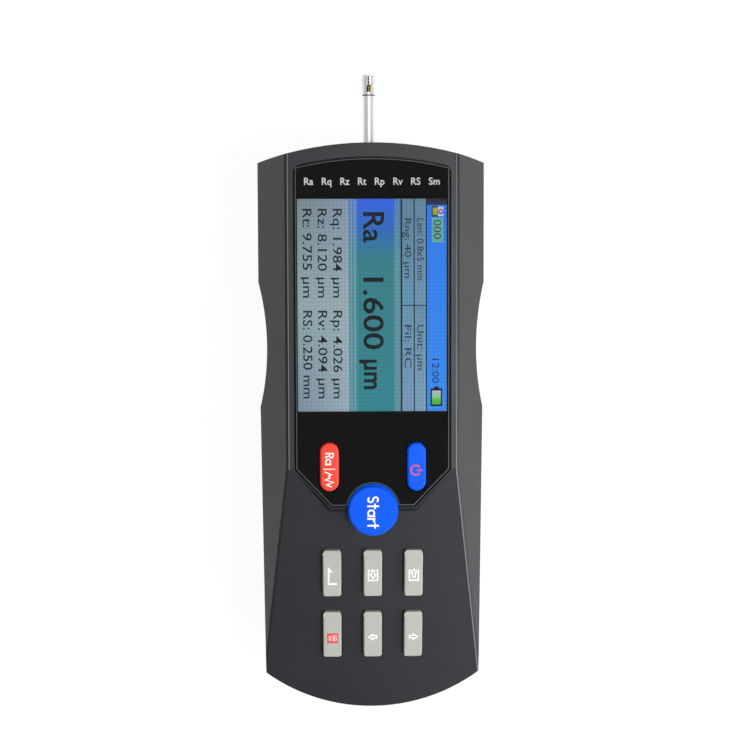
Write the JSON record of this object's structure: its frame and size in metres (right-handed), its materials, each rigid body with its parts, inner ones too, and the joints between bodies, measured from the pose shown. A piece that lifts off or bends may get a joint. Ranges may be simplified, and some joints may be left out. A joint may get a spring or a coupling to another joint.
{
  "type": "surface roughness tester",
  "caption": "Hand-held surface roughness tester: waisted dark case with a display window, sloped keypad, press buttons and a slim stylus pickup that a screw drive draws in.",
  "frame": {"origin": "centre of the base face that the tester rests on", "axes": "+Y along the pickup, out of the case; +Z out of the display; +X to the right of the keypad"},
  "size_m": [0.063, 0.1818, 0.0472],
  "materials": {
    "case_plastic": "fine-textured moulded ABS, dark grey",
    "base_plastic": "fine-textured moulded ABS, darker grey",
    "lens_acrylic": "clear hard-coated acrylic with a smoked tint",
    "mask_print": "black print on the back of the lens",
    "display": "colour display, lit",
    "carrier_plastic": "moulded black frame",
    "ribbon_film": "amber polyimide film",
    "circuit_board": "green solder-masked glass-fibre board",
    "chip_resin": "black moulding resin",
    "switch_plastic": "moulded black plastic",
    "screw_steel": "zinc-plated steel",
    "battery_sleeve": "blue shrink sleeve",
    "socket_steel": "pressed and plated sheet steel",
    "channel_aluminium": "milled and clear-anodised aluminium",
    "frame_aluminium": "milled grey-anodised aluminium",
    "ground_steel": "ground bright steel",
    "bearing_bronze": "turned bronze",
    "gearbox_brass": "pressed brass housing",
    "motor_steel": "drawn steel can",
    "socket_plastic": "moulded glass-filled plastic",
    "contact_gold": "gold-plated brass",
    "pickup_steel": "polished stainless steel",
    "skid_ruby": "polished ruby",
    "arm_brass": "drawn brass rod",
    "tip_diamond": "lapped diamond point",
    "start_blue": "moulded blue plastic",
    "mode_red": "moulded red plastic",
    "power_blue": "moulded blue plastic",
    "key_grey": "moulded warm grey plastic"
  },
  "bodies": {
    "case": {"front_shell": "case_plastic", "rear_shell": "base_plastic", "window_lens": "lens_acrylic", "lens_mask": "mask_print", "display_panel": "display", "display_carrier": "carrier_plastic", "display_ribbon": "ribbon_film", "main_board": "circuit_board", "board_chips": "chip_resin", "keypad_board": "circuit_board", "button_switches": "switch_plastic", "board_screws": "screw_steel", "case_screws": "screw_steel", "battery_pack": "battery_sleeve", "charge_board": "circuit_board", "usb_socket": "socket_steel", "pickup_channel": "channel_aluminium", "drive_frame": "frame_aluminium", "guide_rods": "ground_steel", "screw_bearings": "bearing_bronze", "motor_gearbox": "gearbox_brass", "drive_motor": "motor_steel", "motor_clamp": "socket_steel", "limit_switches": "switch_plastic", "drive_screws": "screw_steel"},
    "screw": {"lead_screw": "ground_steel", "shaft_coupling": "channel_aluminium", "motor_shaft": "ground_steel"},
    "carriage": {"carriage": "frame_aluminium", "carriage_bushes": "bearing_bronze", "screw_nut": "bearing_bronze", "pivot_pin": "ground_steel"},
    "pickup": {"pickup_socket": "socket_plastic", "contact_pins": "contact_gold", "pickup_body": "pickup_steel", "pickup_tube": "pickup_steel", "pickup_nose": "pickup_steel", "skid": "skid_ruby", "stylus_pin": "ground_steel"},
    "stylus": {"stylus_arm": "arm_brass", "stylus_tip": "tip_diamond"},
    "start": {"start_button": "start_blue"},
    "mode": {"mode_button": "mode_red"},
    "power": {"power_button": "power_blue"},
    "enter": {"enter_key": "key_grey"},
    "save": {"save_key": "key_grey"},
    "recall": {"recall_key": "key_grey"},
    "print": {"print_key": "key_grey"},
    "left": {"left_key": "key_grey"},
    "right": {"right_key": "key_grey"}
  },
  "joints": [
    {"name": "traverse", "type": "slide", "parent": "case", "child": "carriage", "axis": [0, -1, 0], "range_m": [0, 0.0175]},
    {"name": "screw_turn", "type": "hinge", "parent": "case", "child": "screw", "pos_m": [0, 0.03, 0.0197], "axis": [0, 1, 0], "range_deg": [0, 3150.5]},
    {"name": "pickup_tilt", "type": "hinge", "parent": "carriage", "child": "pickup", "pos_m": [0, 0.04, 0.0084], "axis": [1, 0, 0], "range_deg": [0, 3]},
    {"name": "stylus_rock", "type": "hinge", "parent": "pickup", "child": "stylus", "pos_m": [0, 0.0928, 0.0026], "axis": [1, 0, 0], "range_deg": [-0.5, 0.5], "stiffness_Nm_per_rad": 0.003},
    {"name": "start_press", "type": "slide", "parent": "case", "child": "start", "axis": [0, 0.2079, -0.9781], "range_m": [0, 0.0008], "stiffness_N_per_m": 1500},
    {"name": "mode_press", "type": "slide", "parent": "case", "child": "mode", "axis": [0, 0, -1], "range_m": [0, 0.0008], "stiffness_N_per_m": 1500},
    {"name": "power_press", "type": "slide", "parent": "case", "child": "power", "axis": [0, 0, -1], "range_m": [0, 0.0008], "stiffness_N_per_m": 1500},
    {"name": "enter_press", "type": "slide", "parent": "case", "child": "enter", "axis": [0, 0.2079, -0.9781], "range_m": [0, 0.0008], "stiffness_N_per_m": 1500},
    {"name": "save_press", "type": "slide", "parent": "case", "child": "save", "axis": [0, 0.2079, -0.9781], "range_m": [0, 0.0008], "stiffness_N_per_m": 1500},
    {"name": "recall_press", "type": "slide", "parent": "case", "child": "recall", "axis": [0, 0.2079, -0.9781], "range_m": [0, 0.0008], "stiffness_N_per_m": 1500},
    {"name": "print_press", "type": "slide", "parent": "case", "child": "print", "axis": [0, 0.2079, -0.9781], "range_m": [0, 0.0008], "stiffness_N_per_m": 1500},
    {"name": "left_press", "type": "slide", "parent": "case", "child": "left", "axis": [0, 0.2079, -0.9781], "range_m": [0, 0.0008], "stiffness_N_per_m": 1500},
    {"name": "right_press", "type": "slide", "parent": "case", "child": "right", "axis": [0, 0.2079, -0.9781], "range_m": [0, 0.0008], "stiffness_N_per_m": 1500}
  ],
  "couplings": [
    {"joint": "screw_turn", "follows": "traverse", "rad_per_m": 3141.6}
  ]
}
